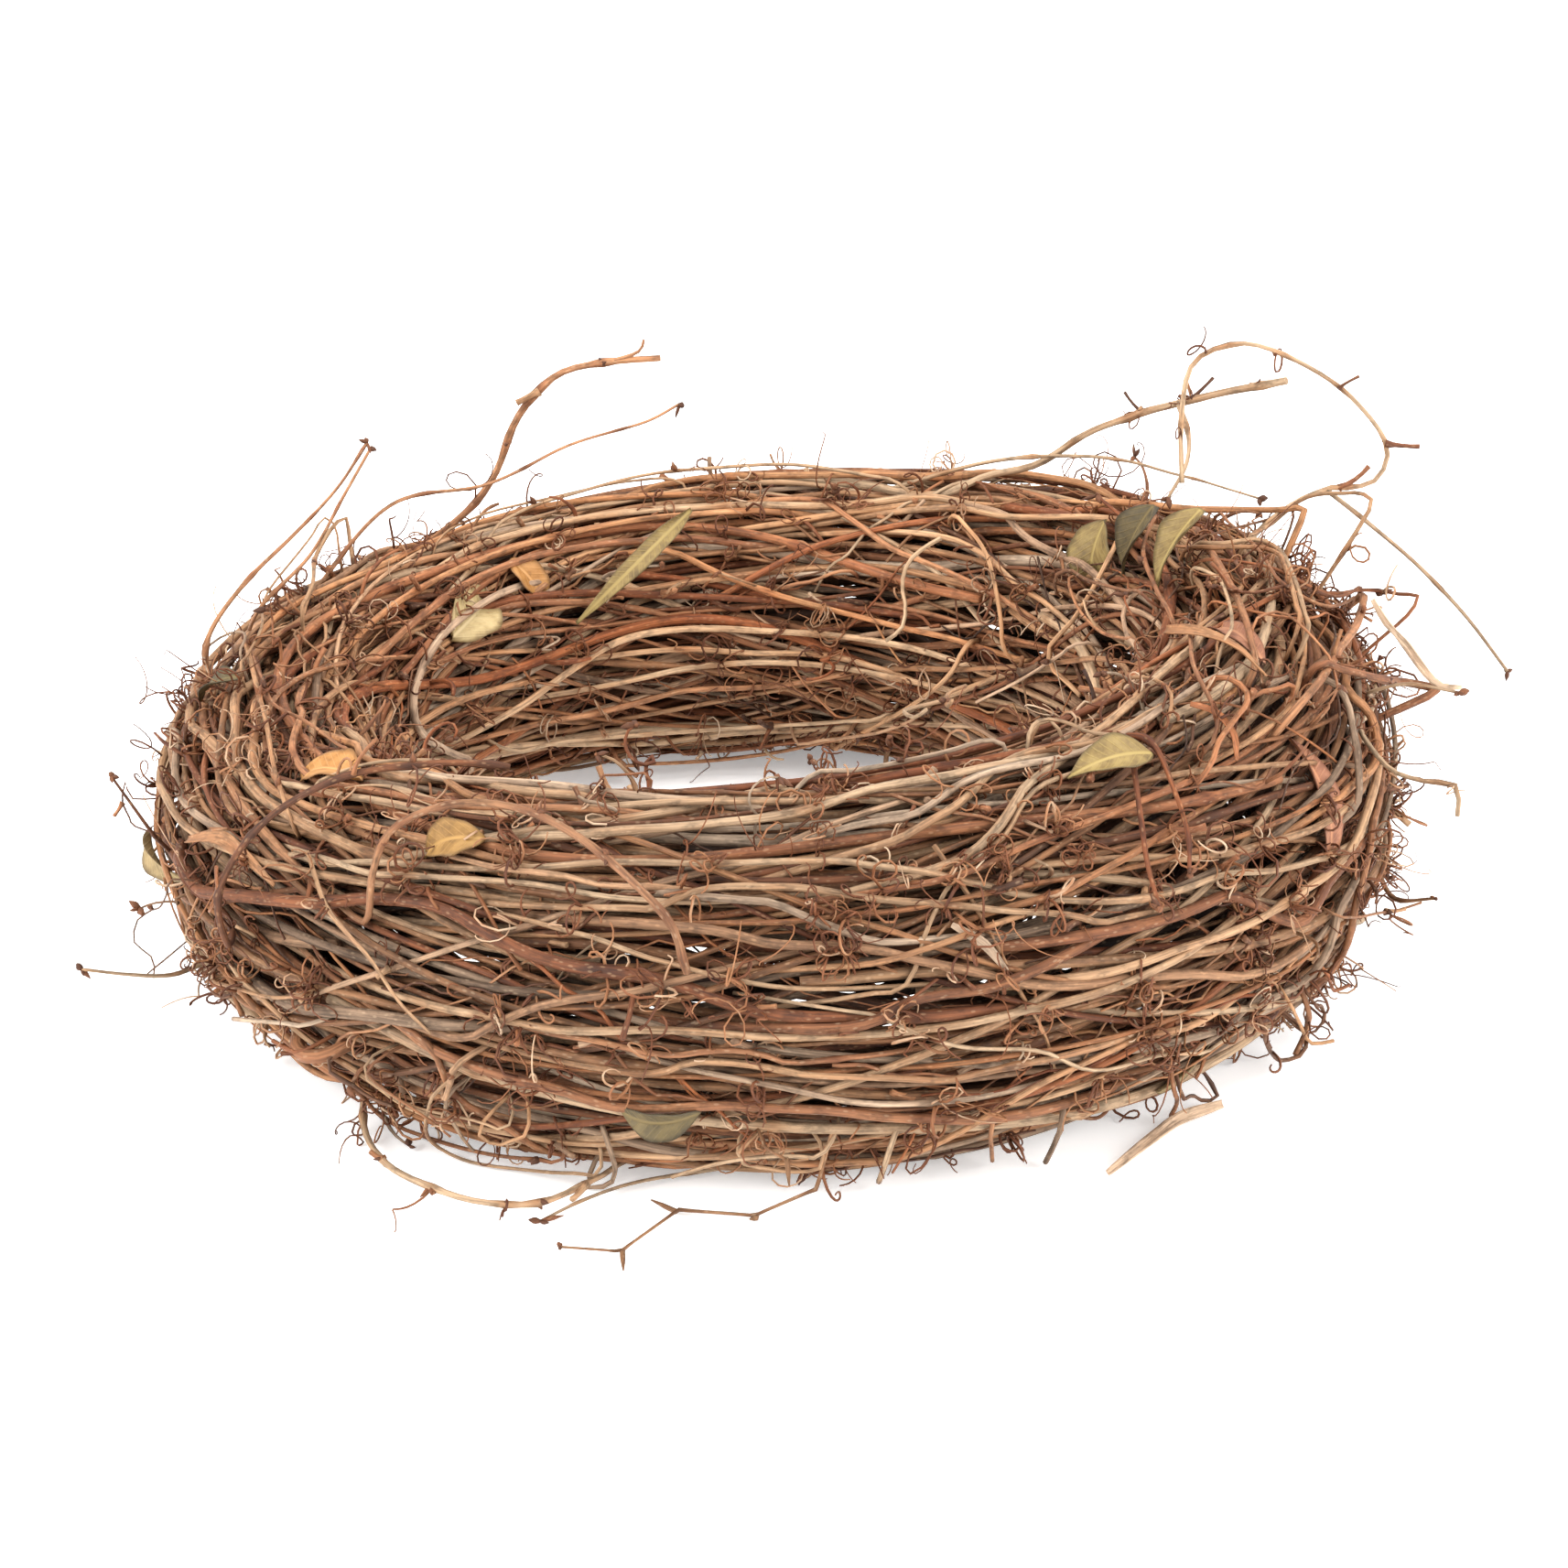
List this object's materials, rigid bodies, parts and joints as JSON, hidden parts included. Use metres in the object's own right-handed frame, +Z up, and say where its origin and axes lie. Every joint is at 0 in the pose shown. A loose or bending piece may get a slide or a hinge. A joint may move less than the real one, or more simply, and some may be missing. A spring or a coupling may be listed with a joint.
{
  "type": "dried vine wreath",
  "caption": "Round wreath of dried climbing-vine canes wound loosely into a thick ring, with curled tendrils, springing twigs and a few dry leaves.",
  "frame": {"origin": "centre of the outer box, twigs included, on the surface that the wreath lies on", "axes": "+Z up out of the wreath's hole, -Y towards the viewer, +X to the viewer's right, at the thick side of the ring"},
  "size_m": [0.336, 0.3071, 0.1347],
  "materials": {
    "cane_tan": "smooth dry bark, satin",
    "cane_brown": "dry brown bark, satin",
    "cane_grey": "weathered grey bark, dull",
    "cane_dark": "dark rough bark, dull",
    "leaf_olive": "dry olive-brown leaf, dull",
    "leaf_pale": "dry bleached leaf, dull",
    "leaf_orange": "dry orange-tan leaf, dull",
    "leaf_red": "dry red-brown leaf, dull"
  },
  "bodies": {
    "root": {"outer_cane_1": "cane_tan", "outer_cane_2": "cane_brown", "outer_cane_3": "cane_tan", "outer_cane_4": "cane_grey", "outer_cane_5": "cane_brown", "outer_cane_6": "cane_tan", "outer_cane_7": "cane_brown", "outer_cane_8": "cane_tan", "outer_cane_9": "cane_grey", "outer_cane_10": "cane_brown", "middle_cane_1": "cane_brown", "middle_cane_2": "cane_grey", "middle_cane_3": "cane_dark", "middle_cane_4": "cane_brown", "middle_cane_5": "cane_grey", "middle_cane_6": "cane_dark", "middle_cane_7": "cane_brown", "middle_cane_8": "cane_grey", "inner_cane_1": "cane_dark", "inner_cane_2": "cane_brown", "inner_cane_3": "cane_dark", "inner_cane_4": "cane_brown", "inner_cane_5": "cane_dark", "core_cane_1": "cane_dark", "core_cane_2": "cane_dark", "core_cane_3": "cane_dark", "cane_with_floor_loop": "cane_tan", "cane_right_rear": "cane_brown", "cane_with_tall_right_twig": "cane_tan", "cane_with_tall_left_twigs": "cane_brown", "cane_front_right": "cane_tan", "cane_with_red_fork": "cane_brown", "cane_with_high_loop": "cane_tan", "cane_with_dark_arc": "cane_dark", "cane_with_floor_twig": "cane_tan", "cane_front_top": "cane_brown", "cane_with_right_twigs": "cane_tan", "leaf_pale_rear_left": "leaf_pale", "leaf_orange_rear_left": "leaf_orange", "leaf_long_strap_rear": "leaf_olive", "leaf_olive_right_1": "leaf_olive", "leaf_olive_right_2": "leaf_olive", "leaf_olive_right_3": "leaf_pale", "leaf_folded_front_right": "leaf_pale", "leaf_orange_front_left": "leaf_orange", "leaf_cupped_front_left": "leaf_orange", "leaf_pale_left": "leaf_pale", "leaf_green_left_rim": "leaf_olive", "leaf_olive_front_low": "leaf_olive", "leaf_red_strap_top_right": "leaf_red", "leaf_red_blade_right": "leaf_red", "leaf_dry_strap_low_right": "leaf_pale", "leaf_olive_rear_right": "leaf_olive", "leaf_orange_rear": "leaf_orange"}
  },
  "joints": []
}
